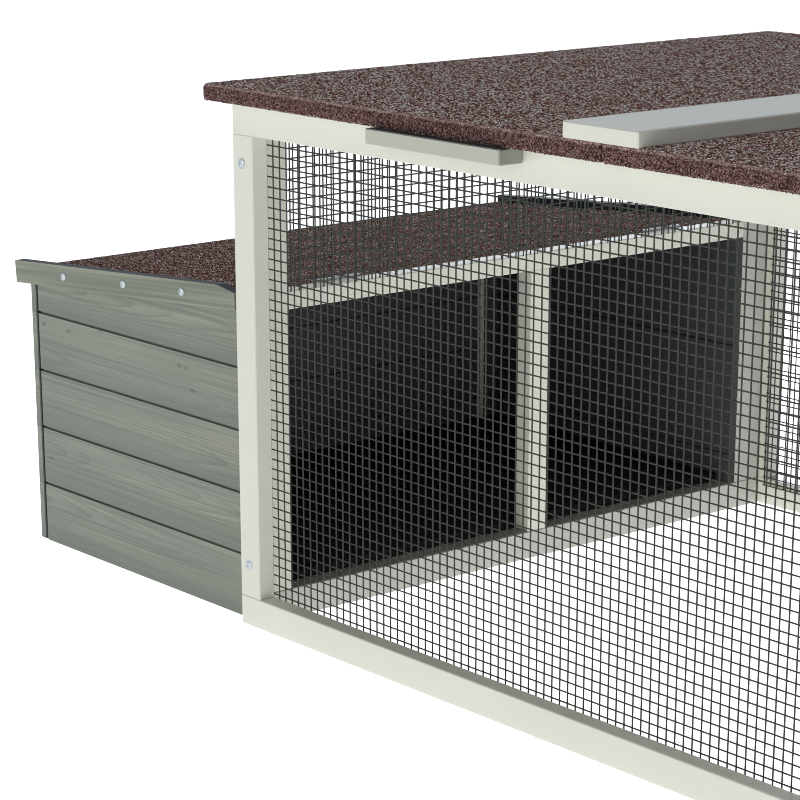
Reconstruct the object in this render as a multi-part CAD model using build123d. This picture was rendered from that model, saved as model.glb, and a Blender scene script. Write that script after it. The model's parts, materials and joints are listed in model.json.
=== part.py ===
from build123d import *
import math
import os

os.makedirs("parts", exist_ok=True)

# Millimetres. X runs along the length (coop on the left, run on the right), Y from front to back, Z up.
# While modelling, the run's front left bottom corner is at zero; the finished set is centred at the end.

# Run frame
run_width = 1360.0
run_depth = 985.0
frame_height = 679.0
timber_width = 40.0
timber_thickness = 24.0
timber_edge = 1.2

# Left side frame, shared with the coop
doorway_head = 412.0
front_jamb_width = 42.0
front_doorway_width = 420.0
middle_post_width = 34.0
middle_post_depth = 27.0
back_jamb_width = 53.0

# Wire mesh
cell_across = 13.33
cell_up = 12.95
wire = 1.8
mesh_bottom_lap = 10.6
mesh_head_lap = 1.0
mesh_top_lap = 16.0
mesh_gap = 1.0
mesh_inset = 11.6

# Run roof
roof_side_overhang = 30.0
roof_front_overhang = 24.0
roof_back_overhang = 18.0
roof_board_thickness = 18.0
roof_felt_thickness = 3.0
roof_felt_round = 6.0
roof_felt_lip_round = 4.5
roof_seam_gap = 2.0
strip_width = 115.0
strip_thickness = 18.0
strip_swing_gap = 4.0
strip_edge = 1.5
grip_start = 305.0
grip_length = 231.5
grip_depth = 34.5
grip_height = 18.0
grip_gap = 1.0

# Coop walls and floor
coop_length = 516.5
coop_front_setback = 20.0
wall_thickness = 13.0
board_pitch = 83.3
board_count = 5
bottom_board_height = 83.5
board_shadow_gap = 3.6
board_inner_gap = 2.0
board_end_gap = 5.0
tongue_height = 6.0
tongue_thickness = 4.4
tongue_clearance = 0.15
corner_post_depth = 28.0
batten_width = 7.5
batten_thickness = 10.5
back_batten_inset = 35.5
floor_thickness = 12.0
floor_rise = 12.0
back_wall_lap = 23.0
frame_clearance = 0.3

# Coop lid
lid_slope = 4.15
lid_high_side = 418.0
lid_overhang = 4.5
lid_board_thickness = 14.0
lid_felt_thickness = 2.5
lid_felt_round = 2.0
lid_rest_gap = 0.3
lid_hinge_gap = 5.0
fascia_thickness = 16.0
fascia_height = 31.0
fascia_drop = 3.0
fascia_end_gap = 2.0
fascia_taper_length = 37.0
fascia_taper_drop = 8.0
fascia_taper_round = 30.0
fascia_wall_gap = 4.0

# Hinges
leaf_thickness = 1.5
leaf_length = 18.0
roof_leaf_length = 12.0
knuckle_radius = 2.4
pin_radius = 1.2
pin_clearance = 0.05
knuckle_length = 24.0
knuckle_gap = 0.4
pin_head = 2.0
hinge_inset = 150.0

# Levels and planes that pieces share
rail_top = timber_width
top_rail_under = frame_height - timber_width
run_back_inner = run_depth - timber_thickness
left_inner = timber_thickness
right_inner = run_width - timber_thickness
left_front_stile_end = timber_thickness + front_jamb_width
left_back_stile_start = run_back_inner - back_jamb_width
right_front_stile_end = timber_thickness + timber_width
right_back_stile_start = run_back_inner - timber_width
head_rail_top = doorway_head + timber_thickness
middle_post_start = left_front_stile_end + front_doorway_width
coop_front = coop_front_setback
coop_back = left_back_stile_start
coop_outer = -coop_length
roof_front = -roof_front_overhang
roof_back = run_depth + roof_back_overhang
roof_top = frame_height + roof_board_thickness + roof_felt_thickness
seam = run_width / 2


def block(x, y, z):
    """A box between three pairs of limits."""
    size = [high - low for low, high in (x, y, z)]
    centre = [(high + low) / 2 for low, high in (x, y, z)]
    return Pos(*centre) * Box(*size)


def timber(x, y, z, edge=timber_edge):
    """A planed timber: all its edges are broken, so that a fine groove shows where two meet."""
    bar = block(x, y, z)
    return chamfer(bar.edges(), edge)


pieces = {}

# Front and back frames: full-length rails with the posts standing between them
frame_planes = {"front": (0, timber_thickness), "back": (run_back_inner, run_depth)}
post_rise = (rail_top, top_rail_under)
right_post_span = (run_width - timber_width, run_width)
for side, depth in frame_planes.items():
    pieces[f"{side}_bottom_rail"] = timber((0, run_width), depth, (0, rail_top))
    pieces[f"{side}_top_rail"] = timber((0, run_width), depth, (top_rail_under, frame_height))
    pieces[f"{side}_left_post"] = timber((0, timber_width), depth, post_rise)
    pieces[f"{side}_right_post"] = timber(right_post_span, depth, post_rise)

# Side frames between them
between = (timber_thickness, run_back_inner)
side_planes = {
    "left": ((0, left_inner), left_front_stile_end, left_back_stile_start),
    "right": ((right_inner, run_width), right_front_stile_end, right_back_stile_start),
}
for side, (plane, front_stile_end, back_stile_start) in side_planes.items():
    pieces[f"{side}_bottom_rail"] = timber(plane, between, (0, rail_top))
    pieces[f"{side}_top_rail"] = timber(plane, between, (top_rail_under, frame_height))
    front_stile = (timber_thickness, front_stile_end)
    pieces[f"{side}_front_stile"] = timber(plane, front_stile, post_rise)
    back_stile = (back_stile_start, run_back_inner)
    pieces[f"{side}_back_stile"] = timber(plane, back_stile, post_rise)

# The two doorways into the coop, under one head rail
left_frame = (0, left_inner)
doorway_span = (left_front_stile_end, left_back_stile_start)
pieces["doorway_head_rail"] = timber(left_frame, doorway_span, (doorway_head, head_rail_top))
middle_post_span = (middle_post_start, middle_post_start + middle_post_width)
middle_post_back = left_inner - middle_post_depth
middle_post_plane = (middle_post_back, left_inner)
pieces["doorway_middle_post"] = timber(middle_post_plane, middle_post_span, (rail_top, doorway_head))

# The bearer carries the edges of both roof panels
bearer_span = (seam - timber_thickness / 2, seam + timber_thickness / 2)
pieces["roof_bearer"] = timber(bearer_span, between, (frame_height - timber_thickness, frame_height))


def wire_ladder(cells, pitch, height):
    """Parallel upright wires joined by a wire along each end."""
    sheet = Rectangle(cells * pitch + wire, height)
    slots = GridLocations(pitch, 0, cells, 1) * Rectangle(pitch - wire, height - 2 * wire)
    return extrude(sheet - slots, wire)


def whole_cells(limits, pitch):
    return int((abs(limits[1] - limits[0]) - wire) / pitch)


def mesh_panel(origin, x_dir, normal, span, rise):
    """Welded mesh on the plane through origin: upright wires with the level wires laid on them.

    It starts at span[0] along x_dir and at rise[0] up, and has as many whole cells as fit inside the limits.
    """
    across = whole_cells(span, cell_across)
    up = whole_cells(rise, cell_up)
    width = across * cell_across + wire
    height = up * cell_up + wire
    upright = wire_ladder(across, cell_across, height)
    level = Rot(Z=90) * wire_ladder(up, cell_up, width)
    panel = Compound(children=[upright, Pos(Z=wire) * level])
    centre = span[0] + math.copysign(width / 2, span[1] - span[0])
    return Plane(origin=origin, x_dir=x_dir, z_dir=normal) * Pos(centre, rise[0] + height / 2, 0) * panel


# Mesh panels lie on the inner faces of the frames and lap over the timbers all round
mesh_thickness = 2 * wire
mesh_top_limit = top_rail_under + mesh_top_lap
run_rise = (rail_top - mesh_bottom_lap, mesh_top_limit)
above_head = (head_rail_top - mesh_head_lap, mesh_top_limit)
mesh_left = left_inner + mesh_inset
mesh_right = right_inner - mesh_gap
mesh_front = timber_thickness + mesh_thickness + mesh_gap
mesh_back = run_back_inner - mesh_thickness - mesh_gap
front_plane = ((0, timber_thickness, 0), (-1, 0, 0), (0, 1, 0))
back_plane = ((0, run_back_inner, 0), (1, 0, 0), (0, -1, 0))
left_plane = ((left_inner, 0, 0), (0, 1, 0), (1, 0, 0))
right_plane = ((right_inner, 0, 0), (0, -1, 0), (-1, 0, 0))
pieces["front_mesh"] = mesh_panel(*front_plane, (-mesh_left, -mesh_right), run_rise)
pieces["back_mesh"] = mesh_panel(*back_plane, (mesh_left, mesh_right), run_rise)
pieces["left_mesh"] = mesh_panel(*left_plane, (mesh_front, mesh_back), above_head)
pieces["right_mesh"] = mesh_panel(*right_plane, (-mesh_front, -mesh_back), run_rise)


def felt_panel(x):
    """A roof panel between two X limits: the board, and the felt wrapped over its top and edges."""
    board_round = roof_felt_round - roof_felt_thickness
    y = (roof_front, roof_back)
    inside = [(low + roof_felt_thickness, high - roof_felt_thickness) for low, high in (x, y)]
    board = block(*inside, (frame_height, frame_height + roof_board_thickness))
    board = fillet(board.edges().filter_by(Axis.Z), board_round)
    cover = block(x, y, (frame_height, roof_top))
    cover = fillet(cover.edges().filter_by(Axis.Z), roof_felt_round)
    cover = fillet(cover.edges().group_by(Axis.Z)[-1], roof_felt_round)
    cover = fillet(cover.edges().group_by(Axis.Z)[0], roof_felt_lip_round)
    return board, cover - board


lid_span = (-roof_side_overhang, seam - roof_seam_gap / 2)
fixed_span = (seam + roof_seam_gap / 2, run_width + roof_side_overhang)
pieces["run_lid_board"], pieces["run_lid_felt"] = felt_panel(lid_span)
pieces["fixed_roof_board"], pieces["fixed_roof_felt"] = felt_panel(fixed_span)

# Hinge line of the run lid: in the corner between the back rail and the roof's overhang
run_hinge_y = run_depth + knuckle_radius + pin_clearance
run_hinge_z = frame_height - knuckle_radius - pin_clearance

# The strip is screwed to the lid and covers the seam. Behind the hinge line it would strike the fixed panel.
strip_back = run_hinge_y - (roof_back - run_hinge_y) - strip_swing_gap
strip_span = (seam - strip_width / 2, seam + strip_width / 2)
strip_rise = (roof_top, roof_top + strip_thickness)
pieces["seam_strip"] = timber(strip_span, (roof_front, strip_back), strip_rise, strip_edge)

# Grip block under the lid's front overhang
grip_span = (grip_start, grip_start + grip_length)
grip_rise = (frame_height - grip_height, frame_height)
pieces["grip_block"] = timber(grip_span, (-grip_depth - grip_gap, -grip_gap), grip_rise)

# Coop lid, drawn level with its underside at zero and its hinge side at X zero, then tilted into place
lid_place = Pos(0, 0, lid_high_side) * Rot(Y=-lid_slope)
lid_length = (coop_length + lid_overhang) / math.cos(math.radians(lid_slope))
lid_depth = (coop_front - fascia_wall_gap, coop_back + fascia_wall_gap)
past_depth = (-run_depth, 2 * run_depth)
plumb_end = block((-lid_hinge_gap, lid_length), past_depth, (-frame_height, 2 * frame_height))

board_outline = block((-lid_length + lid_felt_thickness, lid_length), lid_depth, (0, lid_board_thickness))
lid_rise = (0, lid_board_thickness + lid_felt_thickness)
cover_outline = block((-lid_length, lid_length), lid_depth, lid_rise)
outer_top_edge = cover_outline.edges().filter_by(Axis.Y).group_by(Axis.X)[0].sort_by(Axis.Z)[-1]
cover_outline = fillet(outer_top_edge, lid_felt_round)
pieces["coop_lid_board"] = lid_place * board_outline - plumb_end
pieces["coop_lid_felt"] = lid_place * (cover_outline - board_outline) - plumb_end

# End boards of the lid stand above the felt. They taper at the hinge end, to clear the post on opening.
fascia_low = -fascia_drop
fascia_high = fascia_height - fascia_drop
fascia_corners = [
    (-lid_length, fascia_low),
    (-fascia_end_gap, fascia_low),
    (-fascia_end_gap, fascia_high - fascia_taper_drop),
    (-fascia_end_gap - fascia_taper_length, fascia_high),
    (-lid_length, fascia_high),
]
fascia_face = make_face(Polyline(*fascia_corners, close=True))
taper_start = fascia_face.vertices().sort_by(Axis.Y)[-2:].sort_by(Axis.X)[-1]
fascia_face = fillet(taper_start, fascia_taper_round)
fascia = Rot(X=90) * extrude(fascia_face, fascia_thickness)
pieces["coop_lid_front_fascia"] = lid_place * Pos(Y=lid_depth[0]) * fascia
pieces["coop_lid_back_fascia"] = lid_place * Pos(Y=lid_depth[1] + fascia_thickness) * fascia

# Everything under the lid is cut to its slope
above_walls = (-lid_rest_gap, frame_height)
slope_cut = lid_place * block((-2 * lid_length, lid_length), past_depth, above_walls)


def wall_board(level, length):
    """A tongued board drawn on end: thickness along X from its outer face, height along Y, length along Z."""
    height = board_pitch if level else bottom_board_height
    tongue_front = (wall_thickness - tongue_thickness) / 2
    face = Pos(wall_thickness / 2, height / 2) * Rectangle(wall_thickness, height)
    face += Pos(wall_thickness / 2, height + tongue_height / 2) * Rectangle(tongue_thickness, tongue_height)
    if level:
        groove_width = tongue_thickness + 2 * tongue_clearance
        groove_depth = 2 * (tongue_height + tongue_clearance)
        groove = Pos(wall_thickness / 2, 0) * Rectangle(groove_width, groove_depth)
        shadow = Pos(tongue_front / 2, 0) * Rectangle(tongue_front, 2 * board_shadow_gap)
        inner_shadow = Pos(wall_thickness - tongue_front / 2, 0) * Rectangle(tongue_front, 2 * board_inner_gap)
        face -= groove + shadow + inner_shadow
    return extrude(face, length)


def board_level(level):
    return bottom_board_height + (level - 1) * board_pitch if level else 0


lap_limit = (0, left_inner + frame_clearance)
head_room = block(lap_limit, between, (doorway_head - frame_clearance, frame_height))
sill_room = block(lap_limit, between, (0, rail_top + frame_clearance))
wall_start = coop_outer + wall_thickness
front_board_start = wall_start + board_end_gap
front_board_place = Plane(origin=(front_board_start, coop_front, 0), x_dir=(0, 1, 0), z_dir=(1, 0, 0))
back_board_place = Plane(origin=(back_wall_lap, coop_back, 0), x_dir=(0, -1, 0), z_dir=(-1, 0, 0))
outer_board_start = coop_back - corner_post_depth
outer_board_place = Plane(origin=(coop_outer, outer_board_start, 0), x_dir=(1, 0, 0), z_dir=(0, -1, 0))
outer_board_length = coop_back - coop_front - 2 * corner_post_depth
for level in range(board_count):
    lift = Pos(Z=board_level(level))
    front_board = lift * (front_board_place * wall_board(level, -front_board_start))
    back_board = lift * (back_board_place * wall_board(level, back_wall_lap - wall_start))
    outer_board = lift * (outer_board_place * wall_board(level, outer_board_length))
    number = level + 1
    pieces[f"coop_front_board_{number}"] = front_board - slope_cut
    pieces[f"coop_back_board_{number}"] = back_board - slope_cut - head_room - sill_room
    pieces[f"coop_outer_board_{number}"] = outer_board - slope_cut

# Corner posts close the ends of the outer wall. The front boards stop short of theirs and leave a dark line.
# One batten ties the front corner together; the other stiffens the outer wall near the back.
wall_rise = (0, lid_high_side)
post_span = (coop_outer, wall_start)
front_post_depth = (coop_front, coop_front + corner_post_depth)
back_post_depth = (coop_back - corner_post_depth, coop_back)
pieces["coop_front_corner_post"] = timber(post_span, front_post_depth, wall_rise) - slope_cut
pieces["coop_back_corner_post"] = timber(post_span, back_post_depth, wall_rise) - slope_cut
inner_front = coop_front + wall_thickness
inner_back = coop_back - wall_thickness
back_batten_end = inner_back - back_batten_inset
batten_span = (wall_start, wall_start + batten_thickness)
floor_top = rail_top + floor_rise
batten_rise = (floor_top, lid_high_side)
front_batten_depth = (inner_front, inner_front + batten_width)
back_batten_depth = (back_batten_end - batten_width, back_batten_end)
pieces["coop_front_batten"] = timber(batten_span, front_batten_depth, batten_rise) - slope_cut
pieces["coop_back_batten"] = timber(batten_span, back_batten_depth, batten_rise) - slope_cut

# Floor a little above the doorway sills, on two bearers. It stops behind the middle post.
floor_under = floor_top - floor_thickness
floor_depth = (inner_front, inner_back)
floor_span = (wall_start, middle_post_back - frame_clearance)
pieces["coop_floor"] = block(floor_span, floor_depth, (floor_under, floor_top))
bearer_rise = (0, floor_under)
outer_bearer_span = (wall_start, wall_start + timber_thickness)
inner_bearer_span = (-timber_thickness, 0)
pieces["floor_outer_bearer"] = timber(outer_bearer_span, floor_depth, bearer_rise)
pieces["floor_inner_bearer"] = timber(inner_bearer_span, floor_depth, bearer_rise)

# Hinges, drawn along Y about zero: each leaf is a plate and its knuckles, on a common pin
hinge_length = 3 * knuckle_length
bore = Rot(X=90) * Cylinder(pin_radius + pin_clearance, hinge_length + knuckle_gap)


def knuckles(centres):
    rolled = Rot(X=90) * Cylinder(knuckle_radius, knuckle_length - knuckle_gap)
    return [Pos(Y=centre) * rolled for centre in centres]


def leaf(plate, centres):
    """A plate with rolled knuckles, cut away beside the other leaf's knuckles and bored for the pin."""
    solid = plate
    others = {-knuckle_length, 0, knuckle_length} - set(centres)
    for centre in others:
        room = (centre - knuckle_length / 2 - knuckle_gap / 2, centre + knuckle_length / 2 + knuckle_gap / 2)
        reach = knuckle_radius + knuckle_gap
        solid -= block((-reach, reach), room, (-reach, reach))
    for rolled in knuckles(centres):
        solid += rolled
    return solid - bore


hinge_half = hinge_length / 2 - knuckle_gap / 2
leaf_span = (-hinge_half, hinge_half)
hinge_pin = Rot(X=90) * Cylinder(pin_radius, hinge_length + 2 * pin_head)

# Coop lid hinge line: over the gap between the head rail and the lid's plumb end, just above the felt
coop_hinge_x = -lid_hinge_gap / 2
lid_end_drop = lid_hinge_gap * math.tan(math.radians(lid_slope))
lid_total = (lid_board_thickness + lid_felt_thickness) / math.cos(math.radians(lid_slope))
coop_hinge_z = lid_high_side - lid_end_drop + lid_total + knuckle_radius + knuckle_gap
half_gap = lid_hinge_gap / 2
frame_plate = block((half_gap - leaf_thickness, half_gap), leaf_span, (-leaf_length, 0))
lid_plate = block((-half_gap, -half_gap + leaf_thickness), leaf_span, (-leaf_length, 0))
coop_hinge_places = [lid_depth[0] + hinge_inset, lid_depth[1] - hinge_inset]


def hinge_set(part, places):
    return Compound(children=[place * part for place in places])


coop_places = [Pos(coop_hinge_x, y, coop_hinge_z) for y in coop_hinge_places]
pieces["coop_hinge_frame_leaves"] = hinge_set(leaf(frame_plate, [0]), coop_places)
pieces["coop_hinge_lid_leaves"] = hinge_set(leaf(lid_plate, [-knuckle_length, knuckle_length]), coop_places)

# Run lid hinges: one leaf on the back rail, the other under the overhang. Local X points to the back here.
seat = knuckle_radius + pin_clearance
rail_plate = block((-seat, -seat + leaf_thickness), leaf_span, (-leaf_length, 0))
roof_plate = block((0, roof_leaf_length), leaf_span, (seat - leaf_thickness, seat))
run_hinge_places = [lid_span[0] + hinge_inset, lid_span[1] - hinge_inset]
run_places = [Pos(x, run_hinge_y, run_hinge_z) * Rot(Z=90) for x in run_hinge_places]
pieces["run_hinge_frame_leaves"] = hinge_set(leaf(rail_plate, [0]), run_places)
pieces["run_hinge_lid_leaves"] = hinge_set(leaf(roof_plate, [-knuckle_length, knuckle_length]), run_places)
pieces["hinge_pins"] = hinge_set(hinge_pin, coop_places + run_places)

# Centre the set over the middle of its footprint
boxes = [shape.bounding_box() for shape in pieces.values()]
middle_x = (min(box.min.X for box in boxes) + max(box.max.X for box in boxes)) / 2
middle_y = (min(box.min.Y for box in boxes) + max(box.max.Y for box in boxes)) / 2
centred = Pos(-middle_x, -middle_y, 0)
for name, shape in pieces.items():
    export_step(centred * shape, f"parts/{name}.step")
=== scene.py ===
# %% [markdown]
# A wooden chicken coop with a wire run, seen from the front right corner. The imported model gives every
# timber, board and lid its place. This lesson adds what the solids leave out: the finishes, the round
# wires, the stones on the roofing felt, the screws, and a studio to see them in.

# %% Load the frame
import functools
import json
import math

import bpy
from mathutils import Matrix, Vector

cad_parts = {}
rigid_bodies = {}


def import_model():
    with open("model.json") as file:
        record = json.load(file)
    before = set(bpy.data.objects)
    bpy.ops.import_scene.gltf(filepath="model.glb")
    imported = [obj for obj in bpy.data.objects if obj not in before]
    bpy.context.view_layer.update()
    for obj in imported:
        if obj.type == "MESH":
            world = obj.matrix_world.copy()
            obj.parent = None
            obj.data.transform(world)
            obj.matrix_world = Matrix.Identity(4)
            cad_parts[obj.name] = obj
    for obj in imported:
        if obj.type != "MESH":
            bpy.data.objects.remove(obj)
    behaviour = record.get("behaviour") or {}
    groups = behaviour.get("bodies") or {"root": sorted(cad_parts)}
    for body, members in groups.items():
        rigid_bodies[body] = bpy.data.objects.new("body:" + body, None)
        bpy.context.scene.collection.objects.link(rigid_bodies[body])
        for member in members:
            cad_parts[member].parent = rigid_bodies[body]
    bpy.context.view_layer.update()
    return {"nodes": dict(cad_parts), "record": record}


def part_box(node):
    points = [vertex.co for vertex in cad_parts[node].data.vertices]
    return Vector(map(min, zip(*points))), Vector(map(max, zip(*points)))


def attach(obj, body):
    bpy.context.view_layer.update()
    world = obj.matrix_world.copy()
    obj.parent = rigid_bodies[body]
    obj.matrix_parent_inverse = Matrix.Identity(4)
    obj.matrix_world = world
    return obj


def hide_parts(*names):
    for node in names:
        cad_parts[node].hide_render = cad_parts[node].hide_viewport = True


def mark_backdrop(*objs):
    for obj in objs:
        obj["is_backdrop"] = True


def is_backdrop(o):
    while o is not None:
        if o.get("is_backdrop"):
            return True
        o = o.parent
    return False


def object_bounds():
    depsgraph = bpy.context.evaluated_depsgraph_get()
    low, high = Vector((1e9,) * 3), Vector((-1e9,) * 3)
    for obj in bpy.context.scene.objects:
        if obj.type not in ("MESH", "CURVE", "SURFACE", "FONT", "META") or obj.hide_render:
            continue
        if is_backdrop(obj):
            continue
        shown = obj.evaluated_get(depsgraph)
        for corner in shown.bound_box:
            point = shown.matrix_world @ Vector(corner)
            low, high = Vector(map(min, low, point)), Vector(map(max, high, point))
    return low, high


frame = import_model()
nodes = frame["nodes"]
mm = 0.001
scene = bpy.context.scene

# %% [markdown]
# Colours are written as they look on a screen, so one function turns them into the light values that
# shaders use. One more adds a node to a node tree: plain values go to its sockets, outputs of other nodes
# are linked, and what comes back is an output, ready to be given to the next node. Each node could be set
# up line by line instead, but then the recipe of a finish would be hard to see. The sizes of patterns are
# in millimetres.

# %% Node helpers
up = (0, 0, 1)
to_right = (1, 0, 0)
to_front = (0, -1, 0)
to_back = (0, 1, 0)
smooth = {"interpolation_type": "SMOOTHSTEP"}


def to_linear(code):
    """A screen colour such as "#E8E6DA" as linear red, green, blue and full alpha."""
    channels = [int(code[start:start + 2], 16) / 255 for start in (1, 3, 5)]
    low = [channel / 12.92 for channel in channels]
    high = [((channel + 0.055) / 1.055) ** 2.4 for channel in channels]
    return [a if c <= 0.04045 else b for c, a, b in zip(channels, low, high)] + [1.0]


def plug(made, sockets):
    """Gives a node's sockets plain values or links to other outputs. A screen colour is made linear."""
    for key, value in sockets.items():
        if isinstance(value, bpy.types.NodeSocket):
            made.id_data.links.new(value, made.inputs[key])
        elif isinstance(value, str):
            made.inputs[key].default_value = to_linear(value)
        else:
            made.inputs[key].default_value = value


def add(tree, kind, *values, out=0, stops=(), **settings):
    """Adds a node and returns an output.

    Values fill the first sockets, stops the colours of a ramp. Settings name a property or a socket.
    """
    made = tree.nodes.new(kind if kind.startswith(("Geometry", "Function", "Node")) else "ShaderNode" + kind)
    sockets = dict(enumerate(values))
    for key, value in settings.items():
        if hasattr(made, key):
            setattr(made, key, value)
        else:
            sockets[key.replace("_", " ")] = value
    for place, (position, code) in enumerate(stops):
        elements = made.color_ramp.elements
        element = elements[place] if place < len(elements) else elements.new(position)
        element.position = position
        element.color = to_linear(code)
    plug(made, sockets)
    return made.outputs[out] if made.outputs else made


def new_material(name):
    """A material, a function that adds nodes to it, and its shader."""
    made = bpy.data.materials.new(name)
    made.use_nodes = True
    return made, functools.partial(add, made.node_tree), made.node_tree.nodes["Principled BSDF"]


def per_mm(*sizes):
    """Scales that make a pattern repeat once in each given number of millimetres."""
    return [1 / (size * mm) for size in sizes]


print("node helpers ready")

# %% [markdown]
# The frame is planed timber under satin paint, which gives the eye an even colour with a trace of brush
# marks in the sheen. One flat colour would do from far away, but wide faces would look cut from paper, so
# a slow noise drifts between two close tones and a fine one marks the strokes. The sill under the
# doorways is a duller white. The stile at their far end is given the same duller white as painted shade,
# and the sill's top is painted dark grey as painted shade. The grip block's end is painted darker as
# painted shade, and its top nearly black as the painted shadow of the felt above.

# %% Paint
drift_size = 140
stroke_size = (6, 6, 2)
stroke_depth = 0.12 * mm
face_shade_turn = (0.5, 0.8)


def painted_wood(name, colour, shade, face_shades=()):
    """Paint of two close tones. A face shade is a direction, and the painted shade colour of the faces that
    look that way.
    """
    made, node, shader = new_material(name)
    place = node("TexCoord", out="Object")
    wide = node("Mapping", place, Scale=per_mm(drift_size, drift_size, drift_size))
    cloud = node("TexNoise", wide, Scale=1, Detail=3)
    strokes = node("TexNoise", node("Mapping", place, Scale=per_mm(*stroke_size)), Scale=1, Detail=3)
    tone = node("MixRGB", cloud, shade, colour)
    normal = node("TexCoord", out="Normal")
    # Faces that look one way get a painted shade.
    for direction, face_shade in face_shades:
        facing = node("VectorMath", normal, direction, operation="DOT_PRODUCT", out="Value")
        tone = node("MixRGB", node("MapRange", facing, *face_shade_turn, **smooth), tone, face_shade)
    plug(shader, {
        "Base Color": tone,
        "Normal": node("Bump", Height=strokes, Strength=0.35, Distance=stroke_depth),
        "Roughness": 0.38,
        "Specular IOR Level": 0.38,
    })
    return made


frame_paint = painted_wood("satin off-white paint", "#E4E3D7", "#DEDDD0")
# The grip's end and its top are darkened as painted shade.
grip_shades = [(to_right, "#94958B"), (up, "#20201D")]
grip_paint = painted_wood("satin light grey paint", "#BCBCAE", "#B6B6A8", grip_shades)
# The sill's top is darkened as painted shade.
sill_top_shade = [(up, "#7C7D75")]
sill_paint = painted_wood("satin dull white paint, painted shade on top", "#C5C6BD", "#BEBFB6", sill_top_shade)
print("three paints")

# %% [markdown]
# The coop is pine. Growth rings cut along a board meet its face as long arches around a middle line:
# close together near the board's edges and wide apart on the line itself. A photo of wood could be laid
# over the boards, but it would repeat and blur up close, so the rings are counted instead. Their number
# grows along the board and with the square of the distance from the middle line, and a noise makes them
# wander.

# %% Growth rings
ring_spacing = 95
ring_wander = 2.2
arch_rings = 34
late_wood_sharpness = 2.5
lowest_line = 0.3
line_range = 0.5


def growth_rings(node, chance, run, on_board, wander):
    """How dark the late wood is. Run is the way along a board, and on_board the share of its width."""
    middle_line = node("Math", chance, line_range, lowest_line, operation="MULTIPLY_ADD")
    from_line = node("Math", on_board, middle_line, operation="SUBTRACT")
    arch = node("Math", from_line, from_line, operation="MULTIPLY")
    drift = node("Math", run, 1 / (ring_spacing * mm), operation="MULTIPLY")
    wandering = node("Math", wander, ring_wander, drift, operation="MULTIPLY_ADD")
    rings = node("Math", arch, arch_rings, wandering, operation="MULTIPLY_ADD")
    phase = node("Math", rings, operation="FRACT")
    return node("Math", phase, late_wood_sharpness, operation="POWER")


print("a ring every", ring_spacing, "mm along a board")

# %% [markdown]
# Over the rings lies a grey-green glaze, which leaves the wood a soft sheen and lets its grain show.
# Noises that are drawn out along the board give fine fibres, darker streaks and wide bands, and a cell
# pattern a few knots. A random number for each board shifts the patterns, so that no two boards repeat.
# Faces that look into the coop are darkened as painted shade of the coop's inside, darkest at the joints,
# and ends that look to the right are darkened as painted shade too. Each board is also darker toward
# its lower edge, as painted shade at the joint below.

# %% Glazed pine
board_pitch = 83.3
first_joint = 83.5
joint_share = 0.05
board_shift = [7.3, 9.1, 5.7]
knot_length = 80
knot_width = 40
fibre_depth = 0.2 * mm
shade_turn = (0.5, 0.7)
# Each pattern has a length along the board and a width across it, and then its detail.
grain_patterns = {
    "wander": (240, 36, 1),
    "shown": (260, 50, 1),
    "bands": (420, 26, 2),
    "streaks": (500, 3.5, 3),
    "fibres": (170, 2.4, 3),
}


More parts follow.
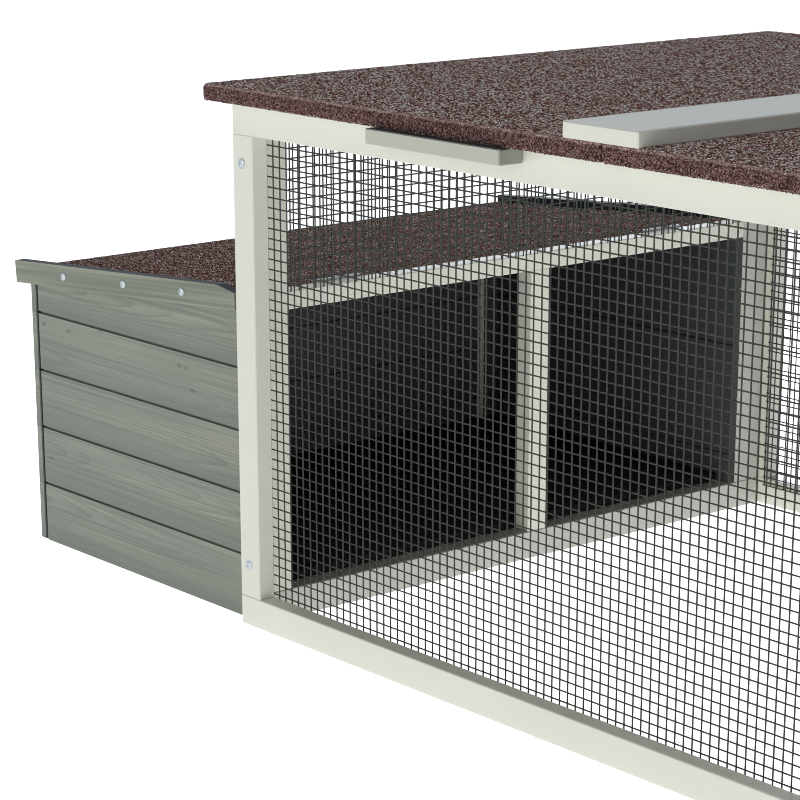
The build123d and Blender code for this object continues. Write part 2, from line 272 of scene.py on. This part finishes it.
def glazed_pine(name, along, inward):
    """Along is 0 for boards that run in X and 1 for those in Y. Inward is the way to the coop's inside."""
    made, node, shader = new_material(name)
    chance = node("ObjectInfo", out="Random")
    chances = node("CombineXYZ", chance, chance, chance)
    shift = node("VectorMath", chances, board_shift, operation="MULTIPLY")
    still = node("TexCoord", out="Object")
    place = node("VectorMath", still, shift, operation="ADD")
    grain = {}
    for use, (length, width, detail) in grain_patterns.items():
        size = (length, width, width) if along == 0 else (width, length, width)
        grain[use] = node("TexNoise", node("Mapping", place, Scale=per_mm(*size)), Scale=1, Detail=detail)

    # Rings, shown more on some stretches of a board than on others.
    height = node("SeparateXYZ", still, out="Z")
    first_share = 1 - first_joint / board_pitch
    boards_up = node("Math", height, 1 / (board_pitch * mm), first_share, operation="MULTIPLY_ADD")
    on_board = node("Math", boards_up, operation="FRACT")
    run = node("SeparateXYZ", place, out="XY"[along])
    late_wood = growth_rings(node, chance, run, on_board, grain["wander"])
    shown = node("MapRange", grain["shown"], 0.35, 0.62, 0.15, 0.75, **smooth)

    # Tones, from the widest pattern to the smallest.
    tone = node("MixRGB", node("MapRange", grain["bands"], 0.3, 0.7, **smooth), "#868B7E", "#999A8B")
    # Each board darkens toward its lower edge, as painted shade at the joint below.
    tone = node("MixRGB", node("MapRange", on_board, -0.1, 0.7, **smooth), "#6E756A", tone)
    tone = node("MixRGB", node("MapRange", grain["streaks"], 0.5, 0.66, 0.0, 0.7), tone, "#676C5F")
    tone = node("MixRGB", node("Math", late_wood, shown, operation="MULTIPLY"), tone, "#64695D")
    tone = node("MixRGB", node("MapRange", grain["fibres"], 0.35, 0.75, 0.0, 0.5), tone, "#666B5E")
    knot = (knot_length, knot_width, knot_width) if along == 0 else (knot_width, knot_length, knot_width)
    from_knot = node("TexVoronoi", node("Mapping", place, Scale=per_mm(*knot)), Scale=1)
    tone = node("MixRGB", node("MapRange", from_knot, 0.1, 0.03, 0.0, 0.7, **smooth), tone, "#454A42")

    # Painted shade on the ends that look to the right and on the faces that look into the coop.
    normal = node("TexCoord", out="Normal")
    inside = node("VectorMath", normal, inward, operation="DOT_PRODUCT", out="Value")
    shaded_end = node("VectorMath", normal, to_right, operation="DOT_PRODUCT", out="Value")
    # Ends that look to the right are darkened as painted shade.
    tone = node("MixRGB", node("MapRange", shaded_end, *shade_turn, **smooth), tone, "#22231F")
    inside_shade = node("MixRGB", node("MapRange", on_board, 0.0, joint_share, 1.0, 0.0), "#474B4A", "#060707")
    tone = node("MixRGB", node("MapRange", inside, *shade_turn, **smooth), tone, inside_shade)
    plug(shader, {
        "Base Color": tone,
        "Normal": node("Bump", Height=grain["fibres"], Strength=0.3, Distance=fibre_depth),
        "Roughness": 0.5,
    })
    return made


front_glaze = glazed_pine("grey-green glazed pine, front boards", along=0, inward=to_back)
back_glaze = glazed_pine("grey-green glazed pine, back boards", along=0, inward=to_front)
outer_glaze = glazed_pine("grey-green glazed pine, outer boards", along=1, inward=to_right)
print("three glazes, for the front, back and outer walls")

# %% [markdown]
# The end boards of the coop's lid slope with it, and so does their straight grain, so their patterns are
# turned by the slope. Their top edge and the side toward the felt are painted nearly black as painted
# shade. Those faces could be given a second material, but where a face looks already tells which
# ones they are.

# %% End boards of the lid
lid_slope = math.radians(4.15)
end_fibre_size = (260 * mm, 3 * mm, 3 * mm)
end_band_size = (700 * mm, 6 * mm, 6 * mm)
shade_side_turn = (0.6, 0.8)


def end_board(name, felt_side):
    """Straight-grained glazed pine, with painted shade on top and on the side where the felt is."""
    made, node, shader = new_material(name)
    place = node("TexCoord", out="Object")
    sloping = {"vector_type": "TEXTURE", "Rotation": (0, -lid_slope, 0)}
    fibres = node("TexNoise", node("Mapping", place, Scale=end_fibre_size, **sloping), Scale=1, Detail=3)
    bands = node("TexNoise", node("Mapping", place, Scale=end_band_size, **sloping), Scale=1, Detail=2)
    tone = node("MixRGB", node("MapRange", bands, 0.3, 0.7, **smooth), "#82877A", "#A1A392")
    tone = node("MixRGB", node("MapRange", fibres, 0.35, 0.75, 0.0, 0.5), tone, "#696E62")
    normal = node("TexCoord", out="Normal")
    upward = node("SeparateXYZ", normal, out="Z")
    toward = node("VectorMath", normal, felt_side, operation="DOT_PRODUCT", out="Value")
    # The top and the felt side are darkened as painted shade.
    shaded_side = node("Math", upward, toward, operation="MAXIMUM")
    plug(shader, {
        "Base Color": node("MixRGB", node("MapRange", shaded_side, *shade_side_turn, **smooth), tone, "#10191D"),
        "Normal": node("Bump", Height=fibres, Strength=0.3, Distance=fibre_depth),
        "Roughness": 0.6,
        "Specular IOR Level": 0.12,
    })
    return made


front_end_board = end_board("grey-green end board, front", felt_side=to_back)
back_end_board = end_board("grey-green end board, back", felt_side=to_front)
print("two end board finishes")

# %% [markdown]
# Roofing felt is bitumen sheet rolled in crushed stone, matt and speckled. A noise would give clouds, so
# a cell pattern is used: each cell is one stone with a colour of its own, and the same cells give the
# rough surface. Real granules are about a millimetre wide, and are drawn up to twice as coarse here,
# because finer ones wouldn't show. On the edges the stones are finer and browner than on top, and the
# bend between is lightened as a painted highlight.

# %% Roofing felt
top_grain = 2.0
edge_grain = 1.4
grain_depth = 2 * mm


def roofing_felt(name, top_stops, edge_stops):
    """Stops are the colours of stones on top and on the edges, from the darkest to the palest."""
    made, node, shader = new_material(name)
    place = node("TexCoord", out="Object")
    coarse = node("Mapping", place, Scale=per_mm(top_grain, top_grain, top_grain))
    fine = node("Mapping", place, Scale=per_mm(edge_grain, edge_grain, edge_grain))
    top = node("SeparateColor", node("TexVoronoi", coarse, Scale=1, out="Color"))
    edge = node("SeparateColor", node("TexVoronoi", fine, Scale=1, out="Color"))
    upward = node("SeparateXYZ", node("TexCoord", out="Normal"), out="Z")
    # The bend between top and edge is lightened as a painted highlight.
    bend_highlight = node("MapRange", upward, 0.25, 0.75, 0.0, 0.4, **smooth)
    edge_and_highlight = node("Math", edge, 0.65, bend_highlight, operation="MULTIPLY_ADD")
    edge_tone = node("ValToRGB", edge_and_highlight, stops=edge_stops)
    on_top = node("MapRange", upward, 0.96, 0.995, **smooth)
    from_middle = node("TexVoronoi", coarse, Scale=1)
    plug(shader, {
        "Base Color": node("MixRGB", on_top, edge_tone, node("ValToRGB", top, stops=top_stops)),
        "Normal": node("Bump", Height=from_middle, Strength=0.8, Distance=-grain_depth),
        "Roughness": 0.8,
        "Specular IOR Level": 0.0,
    })
    return made


run_felt = roofing_felt(
    "brown mineral roofing felt",
    top_stops=((0.0, "#331812"), (0.5, "#7C4F45"), (1.0, "#D6B2A8")),
    edge_stops=((0.0, "#291818"), (0.33, "#5F4442"), (0.65, "#9B807C"), (1.0, "#E6C8BC")))
coop_felt = roofing_felt(
    "dark brown mineral roofing felt",
    top_stops=((0.0, "#270D09"), (0.5, "#60332A"), (1.0, "#B98A7C")),
    edge_stops=((0.0, "#1C0C0A"), (0.33, "#3E2421"), (0.65, "#7E625B"), (1.0, "#B08C82")))
print("two felts")

# %% [markdown]
# The remaining finishes are even enough for one colour each: pale sheathing board under the felt, a dull
# near-black on the coop's floor and under its lid as painted shade of the coop's inside, the nearly matt
# coat of the wire, and bright zinc on screws and hinges.

# %% Small finishes


def plain(name, colour, roughness, gloss=0.5, metallic=0.0):
    """A finish that is the same all over."""
    made, _, shader = new_material(name)
    plug(shader, {
        "Base Color": colour,
        "Roughness": roughness,
        "Specular IOR Level": gloss,
        "Metallic": metallic,
    })
    return made


bare_board = plain("pale sheathing board", "#D6D4CA", 0.7)
# The coop's floor and lid board are near-black as painted shade of the coop's inside.
dark_board = plain("near-black board, painted shade", "#181919", 0.7, gloss=0.1)
coated_wire = plain("dark coated steel wire", "#484945", 0.7, gloss=0.12)
zinc = plain("zinc plated steel", "#B4BABD", 0.28, metallic=1.0)
print("four plain finishes")

# %% [markdown]
# The model's record says which kind of material each node has, so most finishes can be handed out by that
# list. A few nodes then get a finish of their own, because of the way their boards run or where they are.

# %% Finishes for the nodes
finish_of_slot = {
    "frame_paint": frame_paint,
    "grip_paint": grip_paint,
    "coop_glaze": front_glaze,
    "roof_felt": run_felt,
    "roof_board": bare_board,
    "mesh_wire": coated_wire,
    "hinge_steel": zinc,
}
for part in frame["record"]["subparts"]:
    finishes = nodes[part["node"]].data.materials
    finishes.clear()
    finishes.append(finish_of_slot[part["material_slot"]])

finish_of_node = {
    "coop_lid_felt": coop_felt,
    "coop_lid_front_fascia": front_end_board,
    "coop_lid_back_fascia": back_end_board,
    "coop_front_corner_post": outer_glaze,
    "coop_back_corner_post": outer_glaze,
    "left_bottom_rail": sill_paint,
    # The far stile's duller white is painted shade.
    "left_back_stile": sill_paint,
    "coop_front_batten": frame_paint,
    "coop_back_batten": frame_paint,
    "coop_floor": dark_board,
    "coop_lid_board": dark_board,
}
for name in nodes:
    if name.startswith("coop_outer_board"):
        finish_of_node[name] = outer_glaze
    if name.startswith("coop_back_board"):
        finish_of_node[name] = back_glaze
for name, finish in finish_of_node.items():
    nodes[name].data.materials[0] = finish
print("finishes given to", len(nodes), "nodes,", len(finish_of_node), "of them by name")

# %% [markdown]
# Modelling by hand is a round of selecting and shaping, and a few steps come back in every piece: to
# clear the selection, to pick faces by where they are, and to write a piece's place into its mesh.

# %% Modelling helpers


def deselect():
    """Clears the selection, because an operator acts on all that is selected."""
    bpy.ops.object.select_all(action="DESELECT")


def pick_faces(piece, wanted):
    """Enters edit mode with only the wanted faces selected."""
    bpy.ops.object.mode_set(mode="EDIT")
    bpy.ops.mesh.select_mode(type="FACE")
    bpy.ops.mesh.select_all(action="DESELECT")
    bpy.ops.object.mode_set(mode="OBJECT")
    for face in piece.data.polygons:
        face.select = wanted(face)
    bpy.ops.object.mode_set(mode="EDIT")


def settle(piece, name):
    """Writes the piece's place into its mesh, so that the object itself stays at the origin."""
    piece.name = name
    piece.data.name = name
    bpy.ops.object.transform_apply(location=True, rotation=True, scale=True)
    return piece


print("modelling helpers ready")

# %% [markdown]
# Each mesh panel is welded from round wires, which catch the light along their length as the square ones
# of the solids can't. They could be drawn one by one, but they are all alike: one wire is a cylinder, and
# an array repeats it at an even step. Eight sides are enough for a wire that is less than two pixels
# wide.

# %% Rows of wires
wire_diameter = 1.9 * mm
wire_sides = 8
cell_across = 13.33 * mm
cell_up = 12.95 * mm


def wire_row(name, first, length, turn, step, count):
    """Parallel wires: the first one is centred at a point, and each next one is a step away."""
    deselect()
    bpy.ops.mesh.primitive_cylinder_add(vertices=wire_sides, radius=wire_diameter / 2, depth=length,
                                        location=first, rotation=turn)
    row = settle(bpy.context.object, name)
    array = row.modifiers.new("repeat", "ARRAY")
    array.count = count
    array.use_relative_offset = False
    array.use_constant_offset = True
    array.constant_offset_displace = step
    bpy.ops.object.modifier_apply(modifier=array.name)
    return row


def evenly(low, high, cell):
    """How many cells fit between the outer wires of a panel, and their size."""
    span = high - low - wire_diameter
    count = round(span / cell)
    return count, span / count


print("wires of", round(wire_diameter / mm, 1), "mm")

# %% [markdown]
# A panel is two rows: the upright wires against the frame, and the level ones welded to their inner side.
# Over the doorways the panel is cut between two level wires, so its uprights end in short stubs, and its
# wires start at the edge of the front stile. Each panel takes its place from the solid that it replaces.

# %% Wire mesh panels


def wire_panel(node, across, outside, stubs=0, trimmed_to=None):
    """Across is the panel's level axis, 0 or 1. Outside says on which end of the other axis its frame is.

    Stubs is how many of the lowest level wires are cut away. A panel can be trimmed to where its opening
    starts.
    """
    low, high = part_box(node)
    start = low[across] if trimmed_to is None else trimmed_to
    middle = (low + high) / 2
    through = 1 - across
    quarter = (high[through] - low[through]) / 4
    upright_depth = low[through] + quarter if outside < 0 else high[through] - quarter
    level_depth = low[through] + 3 * quarter if outside < 0 else high[through] - 3 * quarter

    cells, spacing = evenly(low[across], high[across], cell_across)
    skipped = math.ceil((start - low[across]) / spacing)
    first = Vector(middle)
    first[across] = low[across] + wire_diameter / 2 + skipped * spacing
    first[through] = upright_depth
    step = Vector((0, 0, 0))
    step[across] = spacing
    wires = wire_row(node + "_wires", first, high.z - low.z, (0, 0, 0), step, cells + 1 - skipped)

    cells, spacing = evenly(low.z, high.z, cell_up)
    first = Vector(middle)
    first[across] = (start + high[across]) / 2
    first.z = low.z + wire_diameter / 2 + stubs * spacing
    first[through] = level_depth
    turn = (0, math.pi / 2, 0) if across == 0 else (math.pi / 2, 0, 0)
    step = Vector((0, 0, spacing))
    levels = wire_row(node + "_levels", first, high[across] - start, turn, step, cells + 1 - stubs)

    deselect()
    levels.select_set(True)
    wires.select_set(True)
    bpy.context.view_layer.objects.active = wires
    bpy.ops.object.join()
    bpy.ops.object.shade_smooth_by_angle(angle=math.radians(60))
    wires.data.materials.append(coated_wire)
    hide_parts(node)
    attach(wires, "frame")
    print(wires.name, len(wires.data.polygons), "faces")


stile_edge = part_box("left_front_stile")[1].y
wire_panel("front_mesh", across=0, outside=-1)
wire_panel("back_mesh", across=0, outside=1)
wire_panel("left_mesh", across=1, outside=-1, stubs=1, trimmed_to=stile_edge)
wire_panel("right_mesh", across=1, outside=1)

# %% [markdown]
# The largest stones stand out of the felt: pale ones on the tops catch the light, and brown ones along
# the lower edge of the run's roof roughen its outline. A stone can be as plain as a three-sided pyramid,
# because it is smaller than a grain of rice and there are thousands: what matters is that each has its
# own turn, size and shade. So one stone of each colour is modelled first. They are two to three times as
# coarse as real granules, which would be too fine to show.

# %% Piles of stones
stone_share = 0.6
stone_roughness = 0.6
edge_stone = 2.0 * mm
edge_colours = ("#4A2F2B", "#6B4F49", "#8F756E", "#D9CFC9")
top_stone = 3.3 * mm
top_colours = ("#F1EDEA", "#FFFFFF", "#F8E9E2", "#A0695B")
coop_stone = 2.5 * mm
coop_colours = ("#94766E", "#C9B5AD", "#FFFBF8", "#5C372F")


def pile_of_stones(name, size, colours, gloss=0.0):
    """A collection with one stone of each colour. Its radius and height are a share of its size."""
    pile = bpy.data.collections.new(name)
    scene.collection.children.link(pile)
    for number, colour in enumerate(colours, 1):
        deselect()
        bpy.ops.mesh.primitive_cone_add(vertices=3, radius1=stone_share * size, depth=stone_share * size)
        stone = bpy.context.object
        stone.name = f"{name}_{number}"
        finish = plain(f"crushed stone, {name} {number}", colour, stone_roughness, gloss=gloss)
        stone.data.materials.append(finish)
        scene.collection.objects.unlink(stone)
        pile.objects.link(stone)
    return pile


edge_pile = pile_of_stones("edge_stone", edge_stone, edge_colours)
top_pile = pile_of_stones("top_stone", top_stone, top_colours)
coop_pile = pile_of_stones("coop_stone", coop_stone, coop_colours, gloss=0.4)
print("three piles of", len(top_colours), "stones")

# %% [markdown]
# Thousands of stones can't be laid by hand, and an array would put them in rows. A Geometry Nodes
# modifier scatters them instead, over a copy of the felt's mesh that keeps only the faces to be covered.

# %% Scattering
stone_tilt = 0.9
smallest_stone = 0.6
largest_stone = 1.2


def felt_faces(node, name, lowest, highest):
    """A copy of a felt's mesh with only its outer faces whose upward tilt lies between two values."""
    deselect()
    skin = bpy.data.objects.new(name, nodes[node].data.copy())
    scene.collection.objects.link(skin)
    skin.select_set(True)
    bpy.context.view_layer.objects.active = skin
    low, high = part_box(node)
    middle = (low + high) / 2

    def elsewhere(face):
        outward = face.normal.dot(face.center - middle) > 0
        return not (outward and lowest < face.normal.z < highest)

    pick_faces(skin, elsewhere)
    bpy.ops.mesh.delete(type="FACE")
    bpy.ops.object.mode_set(mode="OBJECT")
    return skin


def scatter(skin, pile, density):
    """Replaces a surface by stones scattered over it, so many to a square metre."""
    tree = bpy.data.node_groups.new("scattered stones", "GeometryNodeTree")
    tree.interface.new_socket("Geometry", in_out="INPUT", socket_type="NodeSocketGeometry")
    tree.interface.new_socket("Geometry", in_out="OUTPUT", socket_type="NodeSocketGeometry")
    surface = add(tree, "NodeGroupInput")
    points = add(tree, "GeometryNodeDistributePointsOnFaces", surface, Density=density, Seed=4)
    stones = add(tree, "GeometryNodeCollectionInfo", pile, True, True)
    least_turn = [-stone_tilt, -stone_tilt, 0]
    most_turn = [stone_tilt, stone_tilt, math.tau]
    turn = add(tree, "FunctionNodeRandomValue", least_turn, most_turn, data_type="FLOAT_VECTOR", Seed=1)
    size = add(tree, "FunctionNodeRandomValue", [smallest_stone] * 3, [largest_stone] * 3,
               data_type="FLOAT_VECTOR", Seed=2)
    spread = add(tree, "GeometryNodeInstanceOnPoints", points, Instance=stones, Pick_Instance=True,
                 Rotation=turn, Scale=size)
    add(tree, "NodeGroupOutput", add(tree, "GeometryNodeRealizeInstances", spread))
    modifier = skin.modifiers.new("stones", "NODES")
    modifier.node_group = tree
    bpy.ops.object.modifier_apply(modifier=modifier.name)


print("stones tilt up to", round(math.degrees(stone_tilt)), "degrees")

# %% [markdown]
# The stones of a lid ride with that lid. On the run's roof they lie on the flat top and along the lower
# bend of the edge, on the coop's lid only on top. Once they are laid, the piles aren't needed any more.

# %% Stones on the felts
lower_bend = (-0.95, -0.3)
flat_top = (0.97, 1.01)
edge_density = 160000
top_density = 66000
coop_density = 90000


def lay_stones(node, name, body, pile, tilts, density):
    """Stones on the faces of one felt, riding with it."""
    stones = felt_faces(node, name, *tilts)
    scatter(stones, pile, density)
    stones.data.name = name
    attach(stones, body)
    print(name, len(stones.data.polygons), "faces")


for roof, body in {"run_lid": "run_lid", "fixed_roof": "frame"}.items():
    lay_stones(roof + "_felt", roof + "_edge_stones", body, edge_pile, lower_bend, edge_density)
    lay_stones(roof + "_felt", roof + "_top_stones", body, top_pile, flat_top, top_density)
lay_stones("coop_lid_felt", "coop_lid_stones", "coop_lid", coop_pile, flat_top, coop_density)
for pile in (edge_pile, top_pile, coop_pile):
    for stone in list(pile.objects):
        bpy.data.objects.remove(stone)
    bpy.data.collections.remove(pile)

# %% [markdown]
# Pan-head screws hold the posts and the end boards of the coop's lid. A head could be turned from an
# outline, but half a ball is quicker: it is cut flat at its middle, its crown is pushed in for the
# driver's round recess, and then the whole is pressed flatter.

# %% Screw heads
head_height = 3.5 * mm
recess_depth = 1.2 * mm
crown_share = 0.93


def screw(name, head_radius, place, outward, body):
    """A screw head whose flat side lies on a surface at place, with the surface's outward direction."""
    deselect()
    bpy.ops.mesh.primitive_uv_sphere_add(segments=24, ring_count=12, radius=head_radius)
    head = bpy.context.object
    bpy.ops.object.mode_set(mode="EDIT")
    bpy.ops.mesh.select_all(action="SELECT")
    bpy.ops.mesh.bisect(plane_co=(0, 0, 0), plane_no=up, use_fill=True, clear_inner=True)
    bpy.ops.object.mode_set(mode="OBJECT")
    pick_faces(head, lambda face: face.center.z > crown_share * head_radius)
    bpy.ops.mesh.extrude_region_move(TRANSFORM_OT_translate={"value": (0, 0, -recess_depth)})
    bpy.ops.object.mode_set(mode="OBJECT")
    head.scale = (1, 1, head_height / head_radius)
    head.rotation_euler = Vector(outward).to_track_quat("Z", "Y").to_euler()
    head.location = place
    settle(head, name)
    bpy.ops.object.shade_smooth_by_angle(angle=math.radians(50))
    head.data.materials.append(zinc)
    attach(head, body)


print("screw heads stand out by", round(head_height / mm, 1), "mm")

# %% [markdown]
# Two screws hold the front left post, one near each end, and three hold the front end board of the lid.
# That board slopes, so the height of each screw is worked out from its distance to the board's low end,
# and all three stay on the board's middle line. The post's screws stay with the frame, and the board's
# turn with the lid.

# %% Screws in place
post_head_radius = 6.6 * mm
screw_inset = 18.5 * mm
from_foot = 42.5 * mm
from_head = 35.5 * mm
post_low, post_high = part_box("front_left_post")
for number, height in enumerate((post_low.z + from_foot, post_high.z - from_head), 1):
    place = (post_low.x + screw_inset, post_low.y, height)
    screw(f"post_screw_{number}", post_head_radius, place, to_front, "frame")

lid_head_radius = 5.5 * mm
half_height = 15.5 * mm
lid_screws_from_end = (124 * mm, 270 * mm, 405 * mm)
board_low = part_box("coop_lid_front_fascia")[0]
for number, from_end in enumerate(lid_screws_from_end, 1):
    middle = board_low.z + half_height + from_end * math.tan(lid_slope)
    place = (board_low.x + from_end, board_low.y, middle)
    screw(f"lid_screw_{number}", lid_head_radius, place, to_front, "coop_lid")
print("two screws in the post, three in the lid")

# %% [markdown]
# The studio has a floor of lit white panels and an even, weaker glow from all round. A plain white floor
# would leave the walls of the coop dark from below: this one throws light up at them and still takes a
# soft shadow. The glow is a little blue, as daylight is. What is seen directly or in a reflection is the
# white of the studio.

# %% Studio
floor_size = 40
floor_glow = 1.0
floor_light = (0.97, 1.0, 1.03, 1)
ambient = 0.25
ambient_light = (0.93, 1.0, 1.08, 1)
backdrop_white = 1.08
deselect()
bpy.ops.mesh.primitive_plane_add(size=floor_size, location=(0, 0, 0))
floor = bpy.context.object
floor.name = "studio_floor"
floor_paint, _, shader = new_material("white studio floor")
plug(shader, {
    "Base Color": "#F4F4F4",
    "Roughness": 0.9,
    "Emission Color": floor_light,
    "Emission Strength": floor_glow,
})
floor.data.materials.append(floor_paint)
floor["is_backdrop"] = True

world = bpy.data.worlds.new("studio")
world.use_nodes = True
scene.world = world
tree = world.node_tree
rays = [add(tree, "LightPath", out=f"Is {kind} Ray") for kind in ("Camera", "Glossy", "Transmission")]
seen = add(tree, "Math", rays[0], rays[1], operation="MAXIMUM")
seen = add(tree, "Math", seen, rays[2], operation="MAXIMUM")
plug(tree.nodes["Background"], {
    "Color": ambient_light,
    "Strength": add(tree, "MapRange", seen, 0.0, 1.0, ambient, backdrop_white),
})
print("floor of", floor_size, "m and a glow of", ambient)

# %% [markdown]
# Two soft lights finish the studio. A broad, slightly warm one in front gives the faces toward the viewer
# their white. A low, cool one behind the coop grazes the rail over the doorways, and is kept out of the
# picture. A sun lamp would be simpler, but its hard shadows of the wires would cover the coop.

# %% Lamps


def area_light(name, place, target, width, height, power, colour):
    """A soft light that faces its target."""
    lamp = bpy.data.lights.new(name, "AREA")
    lamp.shape = "RECTANGLE"
    lamp.size = width
    lamp.size_y = height
    lamp.energy = power
    lamp.color = to_linear(colour)[:3]
    lit = bpy.data.objects.new(name, lamp)
    scene.collection.objects.link(lit)
    lit.location = place
    lit.rotation_euler = (Vector(target) - Vector(place)).to_track_quat("-Z", "Y").to_euler()
    return lit


key = area_light("front softbox", place=(0.8, -4.4, 2.3), target=(0.0, -0.4, 0.4),
                 width=3.0, height=2.0, power=34, colour="#FFF9EE")
rim = area_light("back softbox", place=(-1.6, 1.4, 0.48), target=(-0.7, 0.4, 0.45),
                 width=1.2, height=0.38, power=15, colour="#EEF3FF")
rim.visible_camera = False
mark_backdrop(key, rim)
print(key.name, "of", key.data.energy, "W and", rim.name, "of", rim.data.energy, "W")

# %% [markdown]
# The camera stands close to the run's corner, so the run's right end is outside the picture. Its place
# could be found by trying, but the corner's pixel, its distance and the two angles of the view give it
# exactly. The picture is a crop, so the lens is shifted until its axis meets the right pixel.

# %% Camera
picture_side = 800
focal_pixels = 2693.9
axis_pixel = Vector((410.6, 621.6))
sensor_width = 36
azimuth = math.radians(49.983)
elevation = math.radians(17.867)
corner_distance = 3.55
corner_pixel = Vector((242.1, 622.6))

level = math.cos(elevation)
forward = Vector((-math.sin(azimuth) * level, math.cos(azimuth) * level, -math.sin(elevation)))
right = forward.cross(Vector(up)).normalized()
down = forward.cross(right)
offset = (corner_pixel - axis_pixel) / focal_pixels
to_corner = (forward + right * offset.x + down * offset.y).normalized()
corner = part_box("front_bottom_rail")[0]

lens = bpy.data.cameras.new("camera")
lens.sensor_width = sensor_width
lens.lens = focal_pixels / picture_side * sensor_width
lens.shift_x = 0.5 - axis_pixel.x / picture_side
lens.shift_y = axis_pixel.y / picture_side - 0.5
camera = bpy.data.objects.new("camera", lens)
scene.collection.objects.link(camera)
camera.location = corner - to_corner * corner_distance
camera.rotation_euler = forward.to_track_quat("-Z", "Y").to_euler()
scene.camera = camera
scene.cycles.filter_width = 1.0
scene.view_settings.view_transform = "Standard"
print("camera", round(lens.lens, 1), "mm")

# %% [markdown]
# Last, the size of everything shown is printed.

# %% Finish
bounds_at_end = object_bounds()
shown_box = [[round(side, 3) for side in corner] for corner in bounds_at_end]
print("shown from", shown_box[0], "to", shown_box[1], "in metres")
